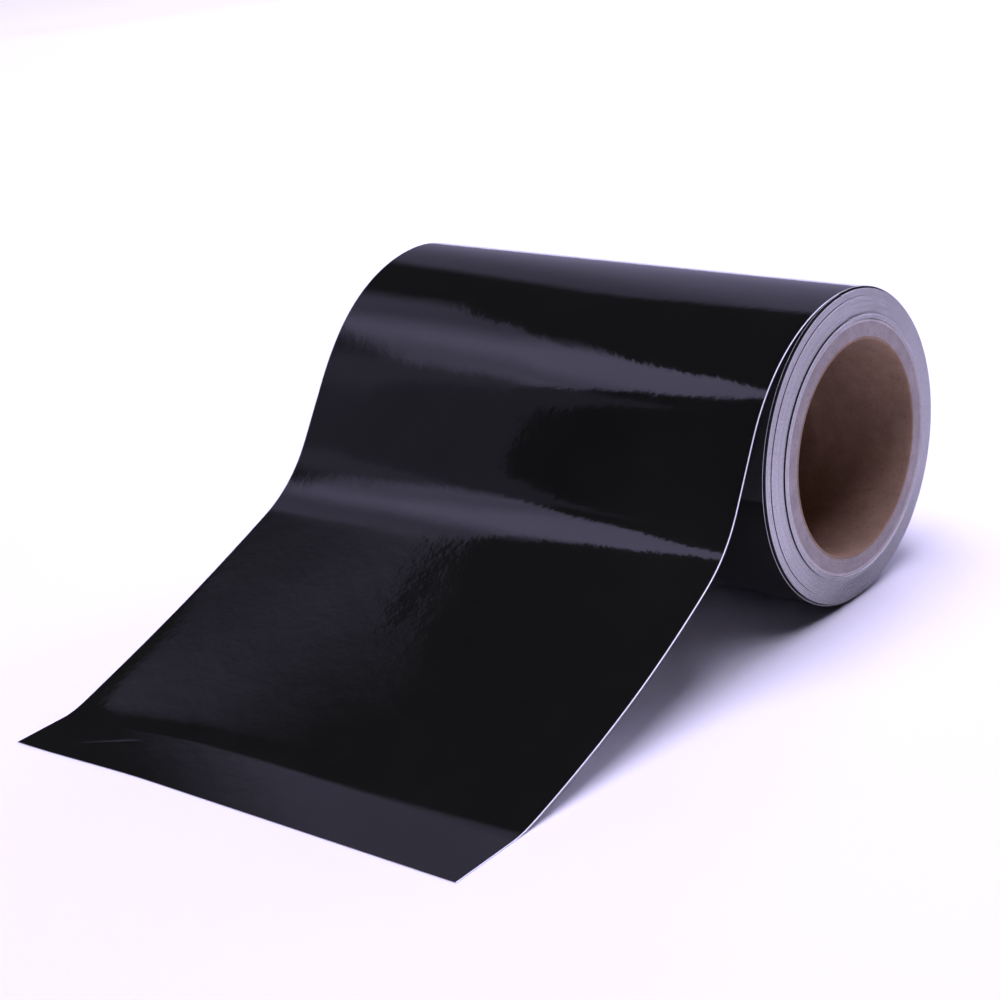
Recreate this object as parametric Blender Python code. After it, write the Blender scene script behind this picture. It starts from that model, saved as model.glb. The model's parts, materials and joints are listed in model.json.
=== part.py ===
"""A partly unrolled roll of sign vinyl: a paperboard core, the wound web of film and release liner, and a
tail that comes off the top of the roll, slopes down and lies flat along its leading edge.

Axes: X along the roll, -Y towards the leading edge, +Z up. The origin is the centre of the box's base.
"""

import math

import bmesh
import bpy

MM = 0.001

# Driving dimensions, in millimetres and degrees. Each one can be changed by itself.
CORE_BORE_R = 38.1
CORE_PLIES = 8
PLY_T = 0.85
GLUE_LINE = 0.02
TAPE_T = 0.1
TAPE_ARC = 25.0
TAPE_LENGTH = 150.0
WEB_WIDTH = 193.0
LINER_T = 0.14
FILM_T = 0.09
FILM_SETBACK = 0.4
WRAPS = 45
RUNNING_GAP = 0.2
LAP_GAP = 0.03
CUT_GAP = 0.4

# How the wraps have slid along the roll, the core and the innermost wraps the furthest towards +X.
PACK_PROUD = 1.1
TELESCOPE = 1.8
INNER_BANDS = ((7, 0.0), (12, -0.3), (15, -0.1))

# The tail from the top of the roll, as arcs of (length, slope at its end). The long gentle stretch that
# follows them is as long as it takes to come down to the floor.
LIFT_OFF_SLOPE = 2.0
TAIL_ARCS = ((49.5, 42.5), (21.0, 58.0), (25.0, 58.0), (26.5, 27.5))
APPROACH_SLOPE = 14.0
TOUCH_DOWN_ARC = 5.0
LEAD_LENGTH = 26.5
FLAP_LENGTH = 14.0

# Fineness of the mesh.
RING_STEPS = 72
TURN_PER_STEP = 3.5
LONGEST_STEP = 12.0

# What follows from the dimensions.
CORE_R = CORE_BORE_R + CORE_PLIES * PLY_T
WRAP_T = LINER_T + FILM_T
WEB_T = WRAP_T + GLUE_LINE
PACK_R_IN = CORE_R + TAPE_T + 2 * GLUE_LINE
PACK_R = PACK_R_IN + WRAPS * WRAP_T
LAP_R = PACK_R + RUNNING_GAP
LAP_PITCH = WEB_T + LAP_GAP
FILM_WIDTH = WEB_WIDTH - 2 * FILM_SETBACK
CORE_SHIFT = PACK_PROUD + TELESCOPE

# Colour and roughness of each kind of surface. Nothing on the object is metal.
FINISHES = {
    "kraft_board": ((0.33, 0.22, 0.15), 0.85),
    "grey_board": ((0.46, 0.41, 0.40), 0.9),
    "white_board": ((0.72, 0.70, 0.69), 0.8),
    "tape": ((0.85, 0.83, 0.76), 0.4),
    "wound_edge": ((0.55, 0.54, 0.58), 0.6),
    "liner": ((0.86, 0.86, 0.88), 0.55),
    "film": ((0.006, 0.006, 0.008), 0.12),
}


def clear_scene():
    for obj in list(bpy.data.objects):
        bpy.data.objects.remove(obj, do_unlink=True)


def make_material(node, finish):
    """The node's own material, with the finish of its kind of surface."""
    colour, roughness = FINISHES[finish]
    material = bpy.data.materials.new(f"{node}_{finish}")
    material.use_nodes = True
    shader = material.node_tree.nodes["Principled BSDF"]
    shader.inputs["Base Color"].default_value = (*colour, 1.0)
    shader.inputs["Roughness"].default_value = roughness
    shader.inputs["Metallic"].default_value = 0.0
    material.diffuse_color = (*colour, 1.0)
    return material


def make_pivot(name, y, z):
    """An empty on a line along X through (y, z), such as a joint's axis."""
    pivot = bpy.data.objects.new(name, None)
    pivot.location = (0.0, y * MM, z * MM)
    pivot.empty_display_size = 0.02
    bpy.context.collection.objects.link(pivot)
    return pivot


def add_piece(node, bm, finish, pivot):
    """Turns a shape drawn in millimetres, in world space, into a piece whose origin is on its pivot."""
    bmesh.ops.scale(bm, verts=bm.verts, vec=(MM, MM, MM))
    bmesh.ops.translate(bm, verts=bm.verts, vec=-pivot.location)
    bmesh.ops.recalc_face_normals(bm, faces=bm.faces)
    mesh = bpy.data.meshes.new(node)
    bm.to_mesh(mesh)
    bm.free()
    mesh.materials.append(make_material(node, finish))
    mesh.shade_smooth()
    mesh.set_sharp_from_angle(angle=math.radians(30))
    obj = bpy.data.objects.new(node, mesh)
    obj.parent = pivot
    bpy.context.collection.objects.link(obj)


def turned(axis, inner, outer, length, steps=RING_STEPS):
    """A tube turned around the roll's axis, or a curved strip if steps is under a full turn.

    inner and outer are each (radius, middle along X), so that the ends may be shallow cones.
    """
    y, z = axis
    bm = bmesh.new()
    corners = ((inner, -1), (inner, 1), (outer, 1), (outer, -1))
    profile = [bm.verts.new((x + side * length / 2, y, z + r)) for (r, x), side in corners]
    edges = [bm.edges.new((a, b)) for a, b in zip(profile, profile[1:] + profile[:1])]
    spun = bmesh.ops.spin(bm, geom=profile + edges, cent=(0, y, z), axis=(1, 0, 0), steps=steps,
                          angle=math.tau * steps / RING_STEPS, use_merge=steps == RING_STEPS)
    if steps < RING_STEPS:
        last = [v for v in spun["geom_last"] if isinstance(v, bmesh.types.BMVert)]
        bm.faces.new(profile)
        bm.faces.new(last)
    return bm


def layer(line, low, high, width):
    """One layer of the web: the band between two distances from a line, extruded along X.

    The line is a list of (y, z, normal y, normal z), and the distances are along its normals.
    """
    bm = bmesh.new()
    left = WEB_MIDDLE - width / 2
    rows = [[bm.verts.new((left, y + ny * d, z + nz * d)) for d in (low, high)] for y, z, ny, nz in line]
    faces = [bm.faces.new((a[0], a[1], b[1], b[0])) for a, b in zip(rows, rows[1:])]
    extruded = bmesh.ops.extrude_face_region(bm, geom=faces, use_keep_orig=True)
    far_side = [v for v in extruded["geom"] if isinstance(v, bmesh.types.BMVert)]
    bmesh.ops.translate(bm, verts=far_side, vec=(width, 0, 0))
    return bm


def liner_layer(line):
    return layer(line, 0.0, LINER_T, WEB_WIDTH)


def film_layer(line):
    return layer(line, LINER_T + GLUE_LINE, WEB_T, FILM_WIDTH)


def arc_run_and_drop(length, start, end):
    """How far an arc goes along and down, when its slope turns from start to end, in radians."""
    if abs(end - start) < 1e-6:
        return length * math.cos(start), length * math.sin(start)
    radius = length / (end - start)
    return radius * (math.sin(end) - math.sin(start)), radius * (math.cos(start) - math.cos(end))


def lap_line():
    """The underside of the outermost turn, about the roll's axis.

    It starts below the place where the tail lifts off and runs down the front, under the roll, up the
    back and over the top to that place again, one pitch further out, so that it clears its own start.
    """
    line = []
    for step in range(RING_STEPS + 1):
        turn = step / RING_STEPS
        angle = math.radians(LIFT_OFF_SLOPE) - math.tau * (1 - turn)
        radius = LAP_R + LAP_PITCH * turn
        outward = (-math.sin(angle), math.cos(angle))
        line.append((radius * outward[0], radius * outward[1], *outward))
    return line


def tail_line(y, z):
    """The underside of the tail, from the lift-off at (y, z) to where it lies flat at height 0."""
    approach = math.radians(APPROACH_SLOPE)
    stretches = [(length, math.radians(slope)) for length, slope in TAIL_ARCS]
    before = stretches[-1][1]
    starts = [math.radians(LIFT_OFF_SLOPE)] + [slope for _, slope in stretches]
    used = sum(arc_run_and_drop(length, a, b)[1] for (length, b), a in zip(stretches, starts))
    left = z - used - arc_run_and_drop(TOUCH_DOWN_ARC, approach, 0.0)[1]
    stretches.append((left / arc_run_and_drop(1.0, before, approach)[1], approach))
    stretches.append((TOUCH_DOWN_ARC, 0.0))

    slope = math.radians(LIFT_OFF_SLOPE)
    line = [(y, z, -math.sin(slope), math.cos(slope))]
    for length, end in stretches:
        turning = abs(math.degrees(end - slope)) / TURN_PER_STEP
        steps = math.ceil(max(1, turning, length / LONGEST_STEP))
        for step in range(1, steps + 1):
            now = slope + (end - slope) * step / steps
            run, drop = arc_run_and_drop(length * step / steps, slope, now)
            line.append((y - run, z - drop, -math.sin(now), math.cos(now)))
        y, z, slope = line[-1][0], line[-1][1], end
    return line


def drawn_back(line, start, end):
    """The line with its first point moved on by start and its last moved back by end, along Y."""
    y0, z0, *first = line[0]
    y1, z1, *last = line[-1]
    return [(y0 - start, z0, *first), *line[1:-1], (y1 + end, z1, *last)]


def make_core(axis, pivot):
    """The spiral-wound paperboard tube: kraft inside, grey board between, white board outside."""
    finishes = ["kraft_board"] + ["grey_board"] * (CORE_PLIES - 2) + ["white_board"]
    middle = WEB_MIDDLE + CORE_SHIFT
    for number, finish in enumerate(finishes, start=1):
        outer = CORE_BORE_R + number * PLY_T
        inner = outer - PLY_T + (GLUE_LINE if number > 1 else 0.0)
        bm = turned(axis, (inner, middle), (outer, middle), WEB_WIDTH)
        add_piece(f"core_ply_{number}", bm, finish, pivot)


def make_start_tape(axis, pivot):
    """The strip of tape that holds the start of the web to the core."""
    steps = round(TAPE_ARC / (math.tau * CORE_R) * RING_STEPS)
    inner = (CORE_R + GLUE_LINE, WEB_MIDDLE + CORE_SHIFT)
    outer = (inner[0] + TAPE_T, inner[1])
    add_piece("start_tape", turned(axis, inner, outer, TAPE_LENGTH, steps), "tape", pivot)


def slid(radius):
    """The middle of a wrap at this radius, along X."""
    share = (PACK_R - radius) / (PACK_R - PACK_R_IN)
    return WEB_MIDDLE + PACK_PROUD + TELESCOPE * share


def make_pack(axis, pivot):
    """The wound web inside the outermost lap, as the bands that its edges show."""
    bands = [*INNER_BANDS, (WRAPS - sum(wraps for wraps, _ in INNER_BANDS), 0.0)]
    radius = PACK_R_IN
    for number, (wraps, step) in enumerate(bands, start=1):
        outer = radius + wraps * WRAP_T
        inner_end = (radius, slid(radius) + step)
        outer_end = (outer - GLUE_LINE, slid(outer) + step)
        bm = turned(axis, inner_end, outer_end, WEB_WIDTH)
        add_piece(f"wound_web_{number}", bm, "wound_edge", pivot)
        radius = outer


def make_web(lap, tail, pivot):
    """The outermost lap and the tail: the film outside and the release liner under it."""
    add_piece("lap_liner", liner_layer(lap), "liner", pivot)
    add_piece("lap_film", film_layer(lap), "film", pivot)
    add_piece("tail_liner", liner_layer(tail), "liner", pivot)
    add_piece("tail_film", film_layer(tail), "film", pivot)


def make_lead(fold_y):
    """The flat leading end, which lifts about the line where the tail meets the floor."""
    fold = make_pivot("lead_fold", fold_y, WEB_T / 2)
    peel_y = fold_y - LEAD_LENGTH + FLAP_LENGTH
    peel = make_pivot("film_peel_line", peel_y, WEB_T - FILM_T / 2)
    edge_y = fold_y - LEAD_LENGTH
    liner = [(y, 0.0, 0.0, 1.0) for y in (fold_y - CUT_GAP / 2, edge_y)]
    film = [(y, 0.0, 0.0, 1.0) for y in (fold_y - CUT_GAP / 2, peel_y + CUT_GAP / 2)]
    flap = [(y, 0.0, 0.0, 1.0) for y in (peel_y - CUT_GAP / 2, edge_y)]
    add_piece("lead_liner", liner_layer(liner), "liner", fold)
    add_piece("lead_film", film_layer(film), "film", fold)
    add_piece("film_flap", film_layer(flap), "film", peel)


# The web's middle, and the roll's axis, put the origin at the centre of the whole object's base.
WEB_MIDDLE = -CORE_SHIFT / 2
LAP = lap_line()
ROLL_Z = -min(z + nz * WEB_T for _, z, _, nz in LAP)
TAIL = tail_line(LAP[-1][0], LAP[-1][1] + ROLL_Z)
REACH_BACK = max(y + ny * WEB_T for y, _, ny, _ in LAP)
REACH_FRONT = TAIL[-1][0] - LEAD_LENGTH
ROLL_Y = -(REACH_BACK + REACH_FRONT) / 2


def main():
    clear_scene()
    axis = (ROLL_Y, ROLL_Z)
    floor = make_pivot("floor_line", 0.0, 0.0)
    roll = make_pivot("roll_axis", *axis)
    lap = [(y + ROLL_Y, z + ROLL_Z, ny, nz) for y, z, ny, nz in LAP]
    tail = [(y + ROLL_Y, z, ny, nz) for y, z, ny, nz in TAIL]
    make_core(axis, roll)
    make_start_tape(axis, roll)
    make_pack(axis, roll)
    make_web(lap, drawn_back(tail, CUT_GAP, CUT_GAP / 2), floor)
    make_lead(tail[-1][0])


main()
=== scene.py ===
"""The looks of a partly unrolled roll of black sign vinyl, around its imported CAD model.

Lengths in this script are in millimetres and angles in degrees until they reach Blender, unless a name
says otherwise. The web is drawn in a frame of its own: across runs over its width, from 0 to 1, and s runs
along it from the place where it lifts off the roll, so that a negative s is on the outermost lap.
"""

import json
import math

import bmesh
import bpy
import numpy as np
from mathutils import Matrix, Vector, noise


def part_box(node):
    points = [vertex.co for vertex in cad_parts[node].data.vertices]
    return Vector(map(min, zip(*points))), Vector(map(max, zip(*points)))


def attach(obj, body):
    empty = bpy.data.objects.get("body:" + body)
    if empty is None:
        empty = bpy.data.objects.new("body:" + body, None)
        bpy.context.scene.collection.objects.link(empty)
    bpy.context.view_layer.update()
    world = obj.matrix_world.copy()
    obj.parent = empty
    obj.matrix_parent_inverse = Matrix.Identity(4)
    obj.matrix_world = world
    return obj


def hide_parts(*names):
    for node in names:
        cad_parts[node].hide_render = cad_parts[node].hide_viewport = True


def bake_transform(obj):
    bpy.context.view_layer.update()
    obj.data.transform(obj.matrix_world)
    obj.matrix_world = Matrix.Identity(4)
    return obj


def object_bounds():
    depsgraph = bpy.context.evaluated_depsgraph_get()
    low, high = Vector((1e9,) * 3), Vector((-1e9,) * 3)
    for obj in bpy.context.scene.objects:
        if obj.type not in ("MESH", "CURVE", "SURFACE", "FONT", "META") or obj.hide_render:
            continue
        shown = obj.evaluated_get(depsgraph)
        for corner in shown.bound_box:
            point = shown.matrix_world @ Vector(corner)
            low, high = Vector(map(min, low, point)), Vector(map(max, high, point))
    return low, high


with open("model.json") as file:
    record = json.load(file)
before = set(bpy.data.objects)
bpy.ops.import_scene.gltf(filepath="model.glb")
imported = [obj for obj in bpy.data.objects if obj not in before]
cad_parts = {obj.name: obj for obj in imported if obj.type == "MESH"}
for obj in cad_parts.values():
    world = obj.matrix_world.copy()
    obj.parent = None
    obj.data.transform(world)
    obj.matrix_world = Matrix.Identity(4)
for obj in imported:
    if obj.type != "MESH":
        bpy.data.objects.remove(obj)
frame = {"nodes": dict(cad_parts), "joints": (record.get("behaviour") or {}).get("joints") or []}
cad_low, cad_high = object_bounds()

MM = 0.001

# The CAD model's driving dimensions.
CORE_BORE_R = 38.1
CORE_PLIES = 8
PLY_T = 0.85
GLUE_LINE = 0.02
TAPE_T = 0.1
WEB_WIDTH = 193.0
LINER_T = 0.14
FILM_T = 0.09
FILM_SETBACK = 0.4
WRAPS = 45
RUNNING_GAP = 0.2
LAP_GAP = 0.03
PACK_PROUD = 1.1
TELESCOPE = 1.8
LIFT_OFF_SLOPE = 2.0

CORE_R = CORE_BORE_R + CORE_PLIES * PLY_T
WRAP_T = LINER_T + FILM_T
WEB_T = WRAP_T + GLUE_LINE
PACK_R_IN = CORE_R + TAPE_T + 2 * GLUE_LINE
PACK_R = PACK_R_IN + WRAPS * WRAP_T
LAP_R = PACK_R + RUNNING_GAP
LAP_PITCH = WEB_T + LAP_GAP
FILM_WIDTH = WEB_WIDTH - 2 * FILM_SETBACK
CORE_SHIFT = PACK_PROUD + TELESCOPE

# The places that the frame gives: the roll's axis, the lead's fold, the peel line, the front edge, and the
# web's middle.
JOINTS = {joint["name"]: joint for joint in frame["joints"]}
ROLL_Y, ROLL_Z = (value / MM for value in JOINTS["roll_spin"]["pos_m"][1:])
FOLD_Y = JOINTS["lead_lift"]["pos_m"][1] / MM
PEEL_Y = JOINTS["film_peel"]["pos_m"][1] / MM
EDGE_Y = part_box("lead_liner")[0].y / MM
TAIL_LOW, TAIL_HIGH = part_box("tail_liner")
WEB_MIDDLE = (TAIL_LOW.x + TAIL_HIGH.x) / 2 / MM

# The tail along each edge, as arcs of (length, slope at its end). The arc with no length is as long as it
# takes to come down to the floor.
TAIL_RIGHT = ((10.3, 10.0), (58.1, 59.3), (25.0, 59.3), (27.7, 27.8), (None, 13.1), (7.9, 0.0))
TAIL_LEFT = ((49.7, 45.0), (20.5, 55.7), (25.0, 55.7), (30.0, 24.8), (None, 18.5), (5.0, 0.0))
GENTLE_ARC = 4

# The left of the web comes down later than the rest of it, its middle a little earlier, and its left
# corner reaches further forward. Widths are in millimetres, and the middle's place and spread are shares.
LATE_TOUCH_DOWN = 7.5
LATE_WIDTH = 60.0
EARLY_TOUCH_DOWN = 1.2
EARLY_PLACE = 0.45
EARLY_SHARE = 0.2
CORNER_REACH = 2.4
CORNER_WIDTH = 65.0

# The colour of the overhead light and of the world.
LILAC = (1.0, 0.93, 1.33)


def collection_add(obj):
    bpy.context.scene.collection.objects.link(obj)
    return obj


# ---------------------------------------------------------------- materials

def new_material(name):
    """A new material, with its node tree and its Principled shader."""
    material = bpy.data.materials.new(name)
    material.use_nodes = True
    tree = material.node_tree
    return material, tree, tree.nodes["Principled BSDF"]


def set_inputs(node, **values):
    for name, value in values.items():
        node.inputs[name.replace("_", " ")].default_value = value


def add_noise(tree, coords, scale, detail=2.0, roughness=0.5, stretch=None):
    """A noise texture, whose scale is in waves per metre. stretch scales the axes of its coordinates."""
    source = coords
    if stretch is not None:
        mapping = tree.nodes.new("ShaderNodeMapping")
        mapping.inputs["Scale"].default_value = stretch
        tree.links.new(coords, mapping.inputs["Vector"])
        source = mapping.outputs["Vector"]
    texture = tree.nodes.new("ShaderNodeTexNoise")
    set_inputs(texture, Scale=scale, Detail=detail, Roughness=roughness, Distortion=0.0)
    tree.links.new(source, texture.inputs["Vector"])
    return texture.outputs["Fac"]


def add_ramp(tree, source, stops):
    """Colours (or greys) for values of source, as (position, colour)."""
    ramp = tree.nodes.new("ShaderNodeValToRGB")
    while len(ramp.color_ramp.elements) < len(stops):
        ramp.color_ramp.elements.new(1.0)
    for element, (position, colour) in zip(ramp.color_ramp.elements, stops):
        element.position = position
        if isinstance(colour, (int, float)):
            colour = (colour, colour, colour)
        element.color = (*colour, 1.0)
    tree.links.new(source, ramp.inputs["Fac"])
    return ramp.outputs["Color"]


def add_bump(tree, height, distance, strength=1.0, normal=None):
    """A bump whose distance is in millimetres."""
    bump = tree.nodes.new("ShaderNodeBump")
    set_inputs(bump, Strength=strength, Distance=distance * MM)
    tree.links.new(height, bump.inputs["Height"])
    if normal is not None:
        tree.links.new(normal, bump.inputs["Normal"])
    return bump.outputs["Normal"]


def object_coords(tree):
    return tree.nodes.new("ShaderNodeTexCoord").outputs["Object"]


def film_material():
    """Glossy black vinyl: a calendered face with a fine orange peel and a little drift in its gloss."""
    material, tree, shader = new_material("film_gloss_black")
    coords = object_coords(tree)
    colour = add_ramp(tree, add_noise(tree, coords, 60.0, 3.0), (
        (0.3, (0.0058, 0.0062, 0.0049)), (0.7, (0.0070, 0.0075, 0.0059))))
    tree.links.new(colour, shader.inputs["Base Color"])
    gloss = add_ramp(tree, add_noise(tree, coords, 45.0, 4.0, 0.6), ((0.3, 0.035), (0.75, 0.075)))
    tree.links.new(gloss, shader.inputs["Roughness"])
    set_inputs(shader, IOR=1.5)
    peel = add_bump(tree, add_noise(tree, coords, 700.0, 2.0), 0.006)
    lie = add_bump(tree, add_noise(tree, coords, 110.0, 3.0, 0.6), 0.05, normal=peel)
    tree.links.new(lie, shader.inputs["Normal"])
    return material


def adhesive_material():
    """The clear, slightly tacky adhesive on the back of the film."""
    material, tree, shader = new_material("film_adhesive_back")
    coords = object_coords(tree)
    colour = add_ramp(tree, add_noise(tree, coords, 90.0, 3.0), (
        (0.3, (0.030, 0.030, 0.034)), (0.7, (0.045, 0.045, 0.050))))
    tree.links.new(colour, shader.inputs["Base Color"])
    gloss = add_ramp(tree, add_noise(tree, coords, 300.0, 3.0), ((0.3, 0.28), (0.7, 0.42)))
    tree.links.new(gloss, shader.inputs["Roughness"])
    tree.links.new(add_bump(tree, add_noise(tree, coords, 900.0, 2.0), 0.01), shader.inputs["Normal"])
    return material


def liner_material():
    """White clay-coated release paper, with a faint formation and a soft sheen."""
    material, tree, shader = new_material("liner_white_paper")
    coords = object_coords(tree)
    colour = add_ramp(tree, add_noise(tree, coords, 140.0, 4.0, 0.65), (
        (0.25, (0.80, 0.80, 0.82)), (0.75, (0.87, 0.87, 0.885))))
    tree.links.new(colour, shader.inputs["Base Color"])
    gloss = add_ramp(tree, add_noise(tree, coords, 200.0, 3.0), ((0.3, 0.38), (0.7, 0.5)))
    tree.links.new(gloss, shader.inputs["Roughness"])
    fibres = add_noise(tree, coords, 1500.0, 3.0, stretch=(1.0, 0.5, 1.0))
    tree.links.new(add_bump(tree, fibres, 0.008), shader.inputs["Normal"])
    return material


def wound_liner_material(name, dark, light):
    """The same paper where it is wound, with a rougher face. The darker copy that the slit edges take is
    painted shade on the roll's end face.
    """
    material, tree, shader = new_material(name)
    coords = object_coords(tree)
    fine = add_noise(tree, coords, 1400.0, 3.0, 0.7)
    colour = add_ramp(tree, fine, ((0.3, dark), (0.6, light)))
    tree.links.new(colour, shader.inputs["Base Color"])
    set_inputs(shader, Roughness=0.55)
    tree.links.new(add_bump(tree, fine, 0.03), shader.inputs["Normal"])
    return material


BOARD_FIBRE = 900.0


def board_material(name, dark, light):
    """Paperboard: mottled pulp, with fibres and the odd fleck."""
    material, tree, shader = new_material(name)
    coords = object_coords(tree)
    mottle = add_noise(tree, coords, 160.0, 5.0, 0.7)
    colour = add_ramp(tree, mottle, ((0.3, dark), (0.7, light)))
    flecks = add_noise(tree, coords, BOARD_FIBRE, 3.0, 0.6)
    fleck = add_ramp(tree, flecks, ((0.28, 0.72), (0.42, 1.0), (0.75, 1.06)))
    mixed = tree.nodes.new("ShaderNodeMix")
    mixed.data_type = "RGBA"
    mixed.blend_type = "MULTIPLY"
    mixed.inputs["Factor"].default_value = 1.0
    tree.links.new(colour, mixed.inputs[6])
    tree.links.new(fleck, mixed.inputs[7])
    tree.links.new(mixed.outputs[2], shader.inputs["Base Color"])
    set_inputs(shader, Roughness=0.85)
    fibres = add_noise(tree, coords, BOARD_FIBRE, 4.0, 0.7)
    tree.links.new(add_bump(tree, fibres, 0.12), shader.inputs["Normal"])
    return material


def tape_material():
    """A pale crepe tape, of which nothing shows while the roll is wound."""
    material, tree, shader = new_material("start_tape_crepe")
    coords = object_coords(tree)
    creases = add_noise(tree, coords, 500.0, 3.0, stretch=(0.2, 1.0, 1.0))
    colour = add_ramp(tree, creases, ((0.3, (0.74, 0.70, 0.58)), (0.7, (0.84, 0.80, 0.68))))
    tree.links.new(colour, shader.inputs["Base Color"])
    set_inputs(shader, Roughness=0.45)
    tree.links.new(add_bump(tree, creases, 0.03), shader.inputs["Normal"])
    return material


# ---------------------------------------------------------------- meshes

def mesh_piece(name, points, faces, materials, face_slots=None, sharp=35.0):
    """A piece from points in millimetres."""
    mesh = bpy.data.meshes.new(name)
    mesh.from_pydata((np.asarray(points, float) * MM).tolist(), [], faces)
    for material in materials:
        mesh.materials.append(material)
    if face_slots is not None:
        mesh.polygons.foreach_set("material_index", face_slots)
    bm = bmesh.new()
    bm.from_mesh(mesh)
    bmesh.ops.recalc_face_normals(bm, faces=bm.faces)
    bm.to_mesh(mesh)
    bm.free()
    mesh.shade_smooth()
    mesh.set_sharp_from_angle(angle=math.radians(sharp))
    return collection_add(bpy.data.objects.new(name, mesh))


def grid_faces(rows, columns, start=0, wrap_rows=False, wrap_columns=False):
    """Quads between the points of a grid that is stored row by row."""
    faces = []
    for row in range(rows if wrap_rows else rows - 1):
        below = (row + 1) % rows
        for column in range(columns if wrap_columns else columns - 1):
            beside = (column + 1) % columns
            faces.append((start + row * columns + column, start + row * columns + beside,
                          start + below * columns + beside, start + below * columns + column))
    return faces


def closed_sheet(name, lower, upper, materials):
    """A thin closed solid between two grids of the same size; its underside takes the last material."""
    rows, columns, _ = lower.shape
    count = rows * columns
    points = np.concatenate([lower.reshape(-1, 3), upper.reshape(-1, 3)])
    top = grid_faces(rows, columns, start=count)
    bottom = [face[::-1] for face in grid_faces(rows, columns)]
    ring = [column for column in range(columns)]
    ring += [row * columns + columns - 1 for row in range(1, rows)]
    ring += [(rows - 1) * columns + column for column in range(columns - 2, -1, -1)]
    ring += [row * columns for row in range(rows - 2, 0, -1)]
    rim = [(a, b, b + count, a + count) for a, b in zip(ring, ring[1:] + ring[:1])]
    slots = [0] * len(top) + [len(materials) - 1] * len(bottom) + [0] * len(rim)
    return mesh_piece(name, points, top + bottom + rim, materials, slots)


# ---------------------------------------------------------------- the web

# The columns are closer together in the left share of the web. The tail's nominal length and step only
# set how many rows it is drawn with.
COLUMNS_LEFT, COLUMNS_RIGHT = 56, 40
FINE_SHARE = 0.28
TAIL_LENGTH = 237.0
TAIL_STEP = 1.0
LAP_STEPS = 240
BEFORE_PEEL, AFTER_PEEL = 14, 18

# On the lap the film comes nearer to the liner's edge. The share of its setback rises from 0 at
# LAP_FLUSH_END, over LAP_FLUSH_FADE, and is nowhere under LAP_SETBACK.
LAP_SETBACK = 0.15
LAP_FLUSH_END = -20.0
LAP_FLUSH_FADE = 30.0

# How widely the slope is smoothed along the tail, and how far past its ends it is known for that.
SMOOTHING = 3.0
SMOOTHING_MARGIN = 30.0


def arc_drop(length, start, end):
    """How far an arc goes down, when its slope turns from start to end, in radians."""
    if abs(end - start) < 1e-6:
        return length * math.sin(start)
    return length / (end - start) * (math.cos(start) - math.cos(end))


def edge_arcs(across):
    """The tail's arcs at a place across the web, from 0 at its left edge to 1 at its right."""
    arcs = []
    for (left_length, left_slope), (right_length, right_slope) in zip(TAIL_LEFT, TAIL_RIGHT):
        length = None
        if left_length is not None:
            length = left_length + (right_length - left_length) * across
        arcs.append((length, math.radians(left_slope + (right_slope - left_slope) * across)))
    return arcs


def tail_knots(across, start_z):
    """The tail at one place across it: how far along each arc ends, and its slope there."""
    first = math.radians(LIFT_OFF_SLOPE)
    arcs = edge_arcs(across)
    starts = [first] + [slope for _, slope in arcs[:-1]]
    known = sum(arc_drop(length, a, b) for (length, b), a in zip(arcs, starts) if length is not None)
    gentle_slope = arcs[GENTLE_ARC][1]
    unit = arc_drop(1.0, starts[GENTLE_ARC], gentle_slope)
    arcs[GENTLE_ARC] = ((start_z - known) / unit, gentle_slope)
    ends = np.cumsum([0.0] + [length for length, _ in arcs])
    slopes = [first] + [slope for _, slope in arcs]
    return ends, slopes


def near_left(across, width):
    """1 at the web's left edge, falling smoothly to 0 at this distance from it."""
    left = max(0.0, 1.0 - across * WEB_WIDTH / width)
    return left * left * (3 - 2 * left)


def touch_down_y(across):
    middle = math.exp(-((across - EARLY_PLACE) / EARLY_SHARE) ** 2)
    return FOLD_Y - LATE_TOUCH_DOWN * near_left(across, LATE_WIDTH) + EARLY_TOUCH_DOWN * middle


def tail_grid(start_y, start_z, across):
    """The y, z and slope of the tail's underside, as arrays of rows by columns."""
    rows = round(TAIL_LENGTH / TAIL_STEP) + 1
    columns = len(across)
    ys = np.zeros((rows, columns))
    zs = np.zeros((rows, columns))
    slopes = np.zeros((rows, columns))
    for column in range(columns):
        ends, knots = tail_knots(across[column], start_z)
        total = ends[-1]
        fine = np.linspace(-SMOOTHING_MARGIN, total + SMOOTHING_MARGIN, 4 * rows)
        profile = np.interp(fine, ends, knots)
        on_roll = fine < 0.0
        profile[on_roll] = knots[0] + fine[on_roll] / LAP_R
        step = fine[1] - fine[0]
        reach = int(3 * SMOOTHING / step)
        kernel = np.exp(-0.5 * (np.arange(-reach, reach + 1) * step / SMOOTHING) ** 2)
        smooth = np.convolve(profile, kernel / kernel.sum(), mode="same")
        keep = (fine >= 0.0) & (fine <= total)
        at = np.linspace(0.0, total, rows)
        slope = np.interp(at, fine[keep], smooth[keep])
        slope[0] = knots[0]
        mid = (slope[1:] + slope[:-1]) / 2
        gap = at[1] - at[0]
        y = start_y - np.concatenate([[0.0], np.cumsum(np.cos(mid) * gap)])
        z = start_z - np.concatenate([[0.0], np.cumsum(np.sin(mid) * gap)])
        landing = ends[GENTLE_ARC]
        share = np.clip((at - landing) / (total - landing), 0.0, 1.0)
        ys[:, column] = y + (touch_down_y(across[column]) - y[-1]) * share
        zs[:, column] = z - z[-1] * share ** 2
        slopes[:, column] = slope
    return ys, zs, slopes


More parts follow.
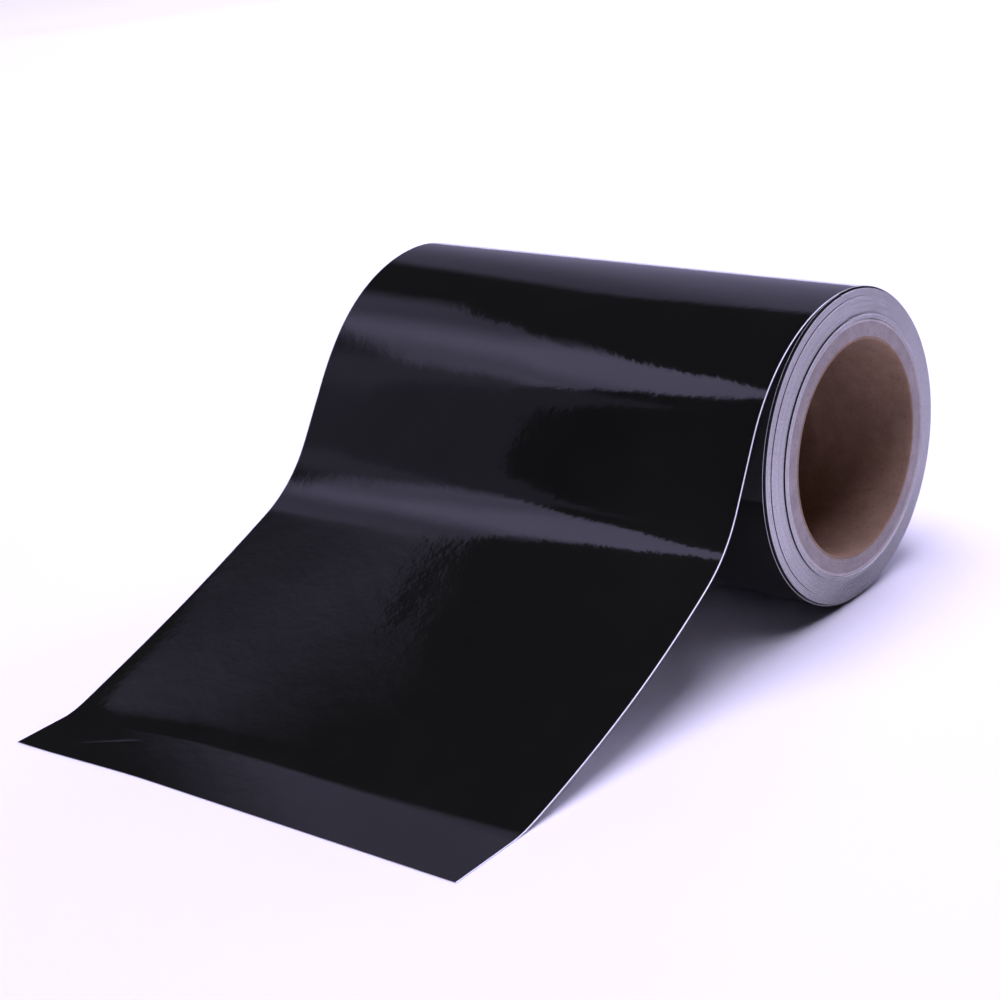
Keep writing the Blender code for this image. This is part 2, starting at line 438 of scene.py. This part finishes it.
def web_surface():
    """The columns' places across the web, and its underside's y, z and slope by row and column."""
    fine = np.linspace(0.0, FINE_SHARE, COLUMNS_LEFT, endpoint=False)
    across = np.concatenate([fine, np.linspace(FINE_SHARE, 1.0, COLUMNS_RIGHT)])
    turn = np.linspace(0.0, 1.0, LAP_STEPS + 1)
    angle = math.radians(LIFT_OFF_SLOPE) - math.tau * (1 - turn)
    radius = LAP_R + LAP_PITCH * turn
    lap_y = ROLL_Y - radius * np.sin(angle)
    lap_z = ROLL_Z + radius * np.cos(angle)
    ones = np.ones(len(across))
    tail_y, tail_z, tail_slope = tail_grid(lap_y[-1], lap_z[-1], across)
    landing = tail_y[-1]
    corner = np.array([near_left(place, CORNER_WIDTH) for place in across])
    edge = EDGE_Y - CORNER_REACH * corner
    before = np.outer(np.arange(1, BEFORE_PEEL + 1) / BEFORE_PEEL, PEEL_Y - landing) + landing
    after = np.outer(np.arange(1, AFTER_PEEL + 1) / AFTER_PEEL, edge - PEEL_Y) + PEEL_Y
    lead = np.concatenate([before, after])
    y = np.concatenate([np.outer(lap_y, ones), tail_y[1:], lead])
    z = np.concatenate([np.outer(lap_z, ones), tail_z[1:], np.zeros_like(lead)])
    slope = np.concatenate([np.outer(angle, ones), tail_slope[1:], np.zeros_like(lead)])
    return across, y, z, slope


# The lengths, from the roll and from the fold line, over which the tail comes to lie free.
FREE_FROM_ROLL = 45.0
FREE_FROM_FLOOR = 40.0


def lie_height(x, y, on_tail):
    """How far the free web stands off its drawn shape, in millimetres: long soft undulations."""
    wave = noise.noise(Vector((x / 60.0, y / 75.0, 3.1))) * 0.32
    wave += noise.noise(Vector((x / 24.0, y / 40.0, 8.7))) * 0.07
    return wave * on_tail


# A short crease and a dent near the left front corner: (x from the web's middle, y) in the CAD frame.
CREASE_START, CREASE_END = (-78.0, -135.0), (-57.0, -121.5)
CREASE_HEIGHT, CREASE_SPREAD = 0.14, 0.9
DENT, DENT_DEPTH, DENT_SPREAD = (-71.0, -118.5), 0.06, 2.6

# How many rows of the web behind the fold line the marks may reach.
MARKED_ROWS = 20


def handling_marks(x, y):
    """How far the crease and the dent near the left front corner lift the web, in millimetres."""
    ax, ay = CREASE_START
    bx, by = CREASE_END
    length = math.hypot(bx - ax, by - ay)
    along = ((x - ax) * (bx - ax) + (y - ay) * (by - ay)) / length
    aside = ((x - ax) * (by - ay) - (y - ay) * (bx - ax)) / length
    taper = min(max(along / 4.0, 0.0), 1.0) * min(max((length - along) / 5.0, 0.0), 1.0)
    lift = CREASE_HEIGHT * taper * math.exp(-(aside / CREASE_SPREAD) ** 2)
    away = math.hypot(x - DENT[0], (y - DENT[1]) * 1.6)
    return lift + DENT_DEPTH * math.exp(-(away / DENT_SPREAD) ** 2)


def raised(across, y, z, slope, width, distance):
    """The grid of points at a distance above the underside, for a layer of this width."""
    rows, columns = y.shape
    grid = np.zeros((rows, columns, 3))
    grid[:, :, 0] = WEB_MIDDLE + np.outer(width, across - 0.5)
    grid[:, :, 1] = y - np.sin(slope) * distance
    grid[:, :, 2] = z + np.cos(slope) * distance
    return grid


def rise_on_tail(row_s, tail_length):
    """1 on the free stretch of the tail, falling to 0 where it is held by the roll and by the floor."""
    into = np.clip(row_s / FREE_FROM_ROLL, 0.0, 1.0)
    out = np.clip((tail_length - row_s) / FREE_FROM_FLOOR, 0.0, 1.0)
    return (into * into * (3 - 2 * into)) * (out * out * (3 - 2 * out))


def make_web(film, adhesive, liner):
    across, y, z, slope = web_surface()
    rows = y.shape[0]
    row_s = np.zeros(rows)
    middle = int(np.argmin(np.abs(across - 0.5)))
    gaps = np.hypot(np.diff(y[:, middle]), np.diff(z[:, middle]))
    row_s[1:] = np.cumsum(gaps)
    row_s -= row_s[LAP_STEPS]
    fold_row = rows - 1 - BEFORE_PEEL - AFTER_PEEL
    peel_row = rows - 1 - AFTER_PEEL
    on_tail = rise_on_tail(row_s, row_s[fold_row])
    lie = np.zeros_like(y)
    for row in range(LAP_STEPS + 1, fold_row):
        for column in range(len(across)):
            x = (across[column] - 0.5) * WEB_WIDTH
            lie[row, column] = lie_height(x, row_s[row], on_tail[row])
    y = y - np.sin(slope) * lie
    z = np.maximum(z + np.cos(slope) * lie, 0.0)
    for row in range(fold_row - MARKED_ROWS, rows):
        for column in range(len(across)):
            z[row, column] += handling_marks((across[column] - 0.5) * WEB_WIDTH, y[row, column])

    liner_width = np.full(rows, WEB_WIDTH)
    film_width = liner_width - 2 * FILM_SETBACK * np.clip(
        (row_s - LAP_FLUSH_END) / LAP_FLUSH_FADE, LAP_SETBACK, 1.0)
    lower = raised(across, y, z, slope, liner_width, 0.0)
    upper = raised(across, y, z, slope, liner_width, LINER_T)
    sheet = closed_sheet("liner_sheet", lower, upper, [liner])
    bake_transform(sheet)
    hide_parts("lap_liner", "tail_liner", "lead_liner")

    low, high = LINER_T + GLUE_LINE, WEB_T
    body = slice(0, peel_row + 1)
    flap = slice(peel_row, rows)
    args = [(across, y[part], z[part], slope[part], film_width[part]) for part in (body, flap)]
    sheet = closed_sheet("film_sheet", raised(*args[0], low), raised(*args[0], high), [film])
    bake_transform(sheet)
    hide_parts("lap_film", "tail_film", "lead_film")

    piece = closed_sheet("film_flap_sheet", raised(*args[1], low), raised(*args[1], high), [film, adhesive])
    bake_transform(piece)
    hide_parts("film_flap")


# ---------------------------------------------------------------- the wound web

TURN_STEPS = 144

# The spiral rises by this in a turn, so that the last wrap ends inside the pack's radius.
WRAP_PITCH = WRAP_T * (WRAPS - 1) / WRAPS
EDGE_CHAMFER = 0.07
WRAP_JITTER = 0.09
WRAP_WAVE = 0.06

# What the layers leave free of the layer outside them, and how much wider the wound film is drawn.
LINER_CLEARANCE = 0.004
FILM_CLEARANCE = 0.007
FILM_SPREAD = 0.5

# The liner's two cut edges and their chamfers, as faces around its section.
EDGE_FACES = (0, 1, 3, 4)

# The wraps have slid in three blocks: how many wraps, how far along X, and how far the block leans back.
SLID_BLOCKS = ((7, 3.3, 0.15), (27, 2.35, 0.70), (WRAPS - 34, 1.2, 0.25))


def wrap_shift(turn, angle):
    """How far along X a wrap has slid, at a place in turns from the core."""
    passed = 0
    for wraps, shift, drift in SLID_BLOCKS:
        if turn < passed + wraps:
            break
        passed += wraps
    shift -= drift * (turn - passed) / wraps
    whole = int(turn)
    shift += WRAP_JITTER * noise.noise(Vector((whole * 0.83, 1.7, 0.0)))
    around = Vector((math.cos(angle) * 0.9, math.sin(angle) * 0.9, turn * 0.35))
    return shift + WRAP_WAVE * noise.noise(around)


def ribbon(name, low, high, width, chamfer, materials, edges=()):
    """One layer of the wound web as a closed spiral ribbon, from the core to the start of the lap.

    low and high are its faces' heights above the wrap's inside. chamfer takes off the corners of its
    outer face. edges lists the faces around its section that take the second material.
    """
    steps = WRAPS * TURN_STEPS
    end_angle = math.radians(LIFT_OFF_SLOPE)
    profile = [(low, -0.5, 0.0), (high - chamfer, -0.5, 0.0), (high, -0.5, chamfer),
               (high, 0.5, chamfer), (high - chamfer, 0.5, 0.0), (low, 0.5, 0.0)]
    if chamfer == 0.0:
        profile = [(low, -0.5, 0.0), (high, -0.5, 0.0), (high, 0.5, 0.0), (low, 0.5, 0.0)]
    points = []
    for step in range(steps + 1):
        turn = step / TURN_STEPS
        angle = end_angle - math.tau * (WRAPS - turn)
        radius = PACK_R_IN + turn * WRAP_PITCH
        shift = wrap_shift(min(turn, WRAPS - 1e-6), angle)
        for height, side, drawn_in in profile:
            x = WEB_MIDDLE + shift + side * width - math.copysign(drawn_in, side)
            r = radius + height
            points.append((x, ROLL_Y - r * math.sin(angle), ROLL_Z + r * math.cos(angle)))
    count = len(profile)
    faces = grid_faces(steps + 1, count, wrap_columns=True)
    faces.append(tuple(range(count)))
    faces.append(tuple(range(steps * count, (steps + 1) * count)))
    edge_slots = [1 if index in edges else 0 for index in range(count)] * steps + [0, 0]
    return mesh_piece(name, points, faces, materials, edge_slots, sharp=30.0)


def make_wound(film, wound_liner, painted_shade_edge):
    """The wound web. The liner's cut edges take a darker material of their own, which is painted shade on
    the end face.
    """
    liner = ribbon("wound_liner", 0.0, LINER_T - LINER_CLEARANCE, WEB_WIDTH, EDGE_CHAMFER,
                   [wound_liner, painted_shade_edge], EDGE_FACES)
    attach(liner, "roll")
    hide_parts("wound_web_1", "wound_web_2", "wound_web_3", "wound_web_4")
    layer = ribbon("wound_film", LINER_T, WRAP_T - FILM_CLEARANCE, FILM_WIDTH + FILM_SPREAD, 0.0, [film])
    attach(layer, "roll")


# ---------------------------------------------------------------- the core

def lathe(name, profile, steps, material, ripple=None, sharp=30.0):
    """A closed ring from a closed profile of (radius, x), with an optional ripple of its radius."""
    points = []
    for step in range(steps):
        angle = math.tau * step / steps
        for radius, x in profile:
            r = radius + (ripple(radius, x, angle) if ripple else 0.0)
            points.append((x, ROLL_Y - r * math.sin(angle), ROLL_Z + r * math.cos(angle)))
    faces = grid_faces(steps, len(profile), wrap_rows=True, wrap_columns=True)
    return mesh_piece(name, points, faces, [material], sharp=sharp)


# The lining's seam, and the ridge of the seam behind it, whose offset is a share of the pitch. Both show
# only on the bore's face and its rounded ends, which lie within BORE_FACE of the bore's radius.
SEAM_PITCH = 176.0
SEAM_WIDTH = 2.4
SEAM_DEPTH = 0.16
RIDGE_OFFSET = 0.37
RIDGE_HEIGHT = 0.05
BORE_FACE = 0.3


def seam_ripple(radius, x, angle):
    """The spiral butt seam of the lining, and the faint ridge of the one behind it."""
    if radius > CORE_BORE_R + BORE_FACE:
        return 0.0
    along = (x / SEAM_PITCH - angle / math.tau) % 1.0
    offset = min(along, 1.0 - along) * SEAM_PITCH
    groove = math.exp(-(offset / SEAM_WIDTH) ** 2) * SEAM_DEPTH
    behind = (x / SEAM_PITCH - angle / math.tau + RIDGE_OFFSET) % 1.0
    offset = min(behind, 1.0 - behind) * SEAM_PITCH
    ridge = math.exp(-(offset / (3 * SEAM_WIDTH)) ** 2) * RIDGE_HEIGHT
    return groove - ridge


def make_core(kraft, board, cover):
    middle = WEB_MIDDLE + CORE_SHIFT
    left, right = middle - WEB_WIDTH / 2, middle + WEB_WIDTH / 2
    along = np.linspace(left + 0.3, right - 0.3, 97)
    outer = CORE_BORE_R + PLY_T
    profile = [(CORE_BORE_R, x) for x in along]
    profile += [(CORE_BORE_R + 0.09, right - 0.07), (CORE_BORE_R + 0.26, right), (outer - 0.06, right)]
    profile += [(outer, right - 0.08), (outer, left + 0.08), (outer - 0.06, left)]
    profile += [(CORE_BORE_R + 0.26, left)]
    profile += [(CORE_BORE_R + 0.09, left + 0.07)]
    lining = lathe("core_lining", profile, 240, kraft, seam_ripple, 50.0)
    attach(lining, "roll")
    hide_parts("core_ply_1")

    inner = outer + GLUE_LINE
    profile = [(inner, left + 0.1), (inner, right - 0.1)]
    for ply in range(2, CORE_PLIES):
        low = CORE_BORE_R + (ply - 1) * PLY_T
        high = low + PLY_T
        stand = 0.05 * math.sin(ply * 2.3)
        profile += [(low + 0.10, right - 0.06 + stand), (low + 0.24, right - 0.02 + stand)]
        profile += [(high - 0.16, right - 0.02 + stand), (high - 0.05, right - 0.08 + stand)]
    top = CORE_BORE_R + (CORE_PLIES - 1) * PLY_T
    profile += [(top, right - 0.1), (top, left + 0.1)]
    for ply in range(CORE_PLIES - 1, 1, -1):
        low = CORE_BORE_R + (ply - 1) * PLY_T
        high = low + PLY_T
        stand = 0.05 * math.sin(ply * 2.3)
        profile += [(high - 0.05, left + 0.08 - stand), (high - 0.16, left + 0.02 - stand)]
        profile += [(low + 0.24, left + 0.02 - stand), (low + 0.10, left + 0.06 - stand)]
    body = lathe("core_board", profile, 240, board, sharp=60.0)
    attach(body, "roll")
    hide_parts(*[f"core_ply_{ply}" for ply in range(2, CORE_PLIES)])

    low, high = top + GLUE_LINE, CORE_R
    profile = [(low, left + 0.06), (low, right - 0.06), (low + 0.08, right), (high - 0.1, right)]
    profile += [(high, right - 0.12), (high, left + 0.12), (high - 0.1, left), (low + 0.08, left)]
    skin = lathe("core_cover", profile, 240, cover)
    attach(skin, "roll")
    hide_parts(f"core_ply_{CORE_PLIES}")


# ---------------------------------------------------------------- the stage

# The point that the panels stand around, and the colour of their light.
REFERENCE = Vector((0.0, 0.0, 60.0))
PANEL_TINT = (0.97, 0.90, 1.46)

# Each panel has a name, its corners, its level, its soft edges and its distance. They stand at
# distances of their own, so that no two coincide.
PANELS = (
    ("back_wall", ((-66, -1), (30, -1), (30, 44.5), (-51.5, 44.5)),
     0.24, (0.08, 0.2, 0.02, 0.08), 1740.0),
    ("back_wall_glow", ((-46, -1), (30, -1), (30, 43), (-46, 43)),
     0.15, (0.15, 0.2, 0.02, 0.07), 1720.0),
    ("main_softbox", ((-127.5, 37.5), (-90, 41.5), (-90, 54), (-130, 56.8)),
     0.80, (0.05, 0.45, 0.25, 0.05), 1700.0),
    ("softbox_high", ((-127.5, 43), (-98, 44), (-98, 54.8), (-130, 56.8)),
     0.45, (0.06, 0.5, 0.4, 0.07), 1680.0),
    ("softbox_right", ((-112, 41), (-72, 39.5), (-72, 48), (-112, 55.5)),
     0.42, (0.35, 0.3, 0.2, 0.06), 1660.0),
    ("low_spill", ((-134.5, 22), (-112, 22), (-112, 44), (-134.5, 44)),
     0.16, (0.06, 0.3, 0.3, 0.15), 1640.0),
    ("low_spill_glow", ((-127, 28), (-108, 28), (-108, 43), (-127, 43)),
     0.13, (0.15, 0.3, 0.3, 0.2), 1620.0),
    ("back_key", ((-20, 10), (20, 10), (20, 40), (-20, 40)),
     6.0, (0.1, 0.1, 0.1, 0.1), 1760.0),
)

SUN_ENERGY = 4.4
SUN_ANGLE = 50.0
SUN_TILT = (-0.05, -0.04, 1.0)

# The narrow spotlight along the tail's edge: its power, beam and distance, and where it points, ahead of
# the roll's axis and above the floor.
SNOOT_POWER = 30.0
SNOOT_SPREAD = 3.0
SNOOT_REACH = 1200.0
SNOOT_AHEAD = 110.0
SNOOT_HEIGHT = 46.0

# The floor's half width and the wall's radius and height, in metres.
FLOOR_SIZE = 14.0
FLOOR_DROP = 0.0001
BACKDROP_RADIUS = 13.0
BACKDROP_HEIGHT = 12.0


def direction(azimuth, elevation):
    """Azimuth 0 is +Y and -90 is -X."""
    a, e = math.radians(azimuth), math.radians(elevation)
    return Vector((math.sin(a) * math.cos(e), math.cos(a) * math.cos(e), math.sin(e)))


def light_panel(name, corners, level, soft, distance):
    """A curved, softly edged light panel that fills a range of directions as the object sees them.

    corners are its (azimuth, elevation) at the low left, low right, high right and high left. soft is the
    share of the panel over which it fades, from its left, right, low and high edges.
    """
    columns, rows = 33, 17
    low_left, low_right, high_right, high_left = (Vector(corner) for corner in corners)
    points, uvs = [], []
    for row in range(rows):
        for column in range(columns):
            u, v = column / (columns - 1), row / (rows - 1)
            place = low_left.lerp(low_right, u).lerp(high_left.lerp(high_right, u), v)
            points.append((REFERENCE + direction(*place) * distance) * MM)
            uvs.append((u, v))
    mesh = bpy.data.meshes.new(name)
    mesh.from_pydata(points, [], grid_faces(rows, columns))
    layer = mesh.uv_layers.new(name="panel")
    for loop in mesh.loops:
        layer.data[loop.index].uv = uvs[loop.vertex_index]
    material = bpy.data.materials.new(name)
    material.use_nodes = True
    tree = material.node_tree
    tree.nodes.clear()
    coords = tree.nodes.new("ShaderNodeTexCoord")
    split = tree.nodes.new("ShaderNodeSeparateXYZ")
    tree.links.new(coords.outputs["UV"], split.inputs["Vector"])
    strength = None
    ends = ((split.outputs["X"], 0.0, soft[0]), (split.outputs["X"], 1.0, 1.0 - soft[1]),
            (split.outputs["Y"], 0.0, soft[2]), (split.outputs["Y"], 1.0, 1.0 - soft[3]))
    for source, dark, full in ends:
        fade = tree.nodes.new("ShaderNodeMapRange")
        fade.interpolation_type = "SMOOTHSTEP"
        fade.inputs["From Min"].default_value = dark
        fade.inputs["From Max"].default_value = full
        fade.inputs["To Max"].default_value = level if strength is None else 1.0
        tree.links.new(source, fade.inputs["Value"])
        if strength is None:
            strength = fade.outputs["Result"]
            continue
        product = tree.nodes.new("ShaderNodeMath")
        product.operation = "MULTIPLY"
        tree.links.new(strength, product.inputs[0])
        tree.links.new(fade.outputs["Result"], product.inputs[1])
        strength = product.outputs["Value"]
    glow = tree.nodes.new("ShaderNodeEmission")
    glow.inputs["Color"].default_value = (*PANEL_TINT, 1.0)
    tree.links.new(strength, glow.inputs["Strength"])
    output = tree.nodes.new("ShaderNodeOutputMaterial")
    clear = tree.nodes.new("ShaderNodeBsdfTransparent")
    both = tree.nodes.new("ShaderNodeAddShader")
    tree.links.new(glow.outputs["Emission"], both.inputs[0])
    tree.links.new(clear.outputs["BSDF"], both.inputs[1])
    tree.links.new(both.outputs["Shader"], output.inputs["Surface"])
    mesh.materials.append(material)
    panel = collection_add(bpy.data.objects.new(name, mesh))
    panel.visible_camera = False
    panel.visible_shadow = False


def make_floor():
    material, tree, shader = new_material("floor_pale")
    coords = object_coords(tree)
    mottle = add_noise(tree, coords, 3.0, 2.0)
    colour = add_ramp(tree, mottle, ((0.3, (0.80, 0.80, 0.80)), (0.7, (0.82, 0.82, 0.82))))
    tree.links.new(colour, shader.inputs["Base Color"])
    set_inputs(shader, Roughness=0.9)
    shader.inputs["Specular IOR Level"].default_value = 0.1
    mesh = bpy.data.meshes.new("floor")
    low = cad_low.z - FLOOR_DROP
    sides = ((-1, -1), (1, -1), (1, 1), (-1, 1))
    corners = [(x * FLOOR_SIZE, y * FLOOR_SIZE, low) for x, y in sides]
    mesh.from_pydata(corners, [], [(0, 1, 2, 3)])
    mesh.materials.append(material)
    collection_add(bpy.data.objects.new("floor", mesh))


def make_backdrop():
    """A pale wall far behind the object on every side, which only the camera sees."""
    low = cad_low.z - FLOOR_DROP
    sides = 64
    points = []
    for height in (low, BACKDROP_HEIGHT):
        for side in range(sides):
            angle = math.tau * side / sides
            points.append((BACKDROP_RADIUS * math.cos(angle), BACKDROP_RADIUS * math.sin(angle), height))
    mesh = bpy.data.meshes.new("backdrop")
    mesh.from_pydata(points, [], grid_faces(2, sides, wrap_columns=True))
    material = bpy.data.materials.new("backdrop_pale")
    material.use_nodes = True
    tree = material.node_tree
    tree.nodes.clear()
    glow = tree.nodes.new("ShaderNodeEmission")
    glow.inputs["Color"].default_value = (0.93, 0.92, 0.97, 1.0)
    output = tree.nodes.new("ShaderNodeOutputMaterial")
    tree.links.new(glow.outputs["Emission"], output.inputs["Surface"])
    mesh.materials.append(material)
    wall = collection_add(bpy.data.objects.new("backdrop", mesh))
    wall.visible_diffuse = False
    wall.visible_glossy = False
    wall.visible_shadow = False


def make_lights():
    sky = bpy.data.lights.new("overhead", "SUN")
    sky.energy = SUN_ENERGY
    sky.angle = math.radians(SUN_ANGLE)
    sky.color = tuple(c / max(LILAC) for c in LILAC)
    obj = collection_add(bpy.data.objects.new("overhead", sky))
    obj.rotation_euler = Vector(SUN_TILT).to_track_quat("Z", "Y").to_euler()
    obj.location = (0, 0, 2)

    for panel in PANELS:
        light_panel(*panel)

    snoot = bpy.data.lights.new("edge_snoot", "SPOT")
    snoot.energy = SNOOT_POWER
    snoot.color = sky.color
    snoot.spot_size = math.radians(SNOOT_SPREAD)
    snoot.spot_blend = 0.5
    snoot.shadow_soft_size = 0.02
    obj = collection_add(bpy.data.objects.new("edge_snoot", snoot))
    target = Vector((WEB_MIDDLE + WEB_WIDTH / 2, ROLL_Y - SNOOT_AHEAD, SNOOT_HEIGHT))
    place = target + direction(150.0, -1.0) * SNOOT_REACH
    obj.location = place * MM
    obj.rotation_euler = (place - target).to_track_quat("Z", "Y").to_euler()

    world = bpy.data.worlds.new("studio")
    world.use_nodes = True
    ground = world.node_tree.nodes["Background"]
    ground.inputs["Color"].default_value = (*LILAC, 1.0)
    ground.inputs["Strength"].default_value = 0.01
    bpy.context.scene.world = world


CAMERA_PLACE = (484.01, -627.68, 326.41)
CAMERA_YAW, CAMERA_PITCH, CAMERA_ROLL = 0.7204, 0.3618, 0.1130
CAMERA_LENS = 80.51


def make_camera():
    """The camera, placed from the web's middle and the roll's axis."""
    forward = Vector((-math.sin(CAMERA_YAW) * math.cos(CAMERA_PITCH),
                      math.cos(CAMERA_YAW) * math.cos(CAMERA_PITCH), -math.sin(CAMERA_PITCH)))
    level = Vector((math.cos(CAMERA_YAW), math.sin(CAMERA_YAW), 0.0))
    down = forward.cross(level)
    right = level * math.cos(CAMERA_ROLL) + down * math.sin(CAMERA_ROLL)
    below = down * math.cos(CAMERA_ROLL) - level * math.sin(CAMERA_ROLL)
    camera = bpy.data.cameras.new("camera")
    camera.lens = CAMERA_LENS
    camera.sensor_width = 36.0
    camera.clip_start = 0.01
    camera.clip_end = 50.0
    obj = collection_add(bpy.data.objects.new("camera", camera))
    turned = Matrix((right, -below, -forward)).transposed().to_4x4()
    place = Vector((CAMERA_PLACE[0] + WEB_MIDDLE, CAMERA_PLACE[1] + ROLL_Y, CAMERA_PLACE[2])) * MM
    obj.matrix_world = Matrix.Translation(place) @ turned
    bpy.context.scene.camera = obj
    bpy.context.scene.view_settings.view_transform = "Standard"


film = film_material()
adhesive = adhesive_material()
make_web(film, adhesive, liner_material())
make_wound(
    film,
    wound_liner_material("wound_liner_face", (0.80, 0.79, 0.80), (0.90, 0.89, 0.90)),
    # The cut edges' darker grey is painted shade on the roll's end face.
    wound_liner_material("wound_liner_edge_painted_shade", (0.50, 0.485, 0.49), (0.68, 0.66, 0.665)),
)
make_core(
    board_material("core_kraft", (0.27, 0.165, 0.10), (0.36, 0.235, 0.15)),
    board_material("core_grey_board", (0.33, 0.285, 0.275), (0.45, 0.39, 0.375)),
    board_material("core_white_board", (0.55, 0.50, 0.49), (0.66, 0.61, 0.60)),
)
frame["nodes"]["start_tape"].data.materials.clear()
frame["nodes"]["start_tape"].data.materials.append(tape_material())
make_floor()
make_backdrop()
make_lights()
make_camera()
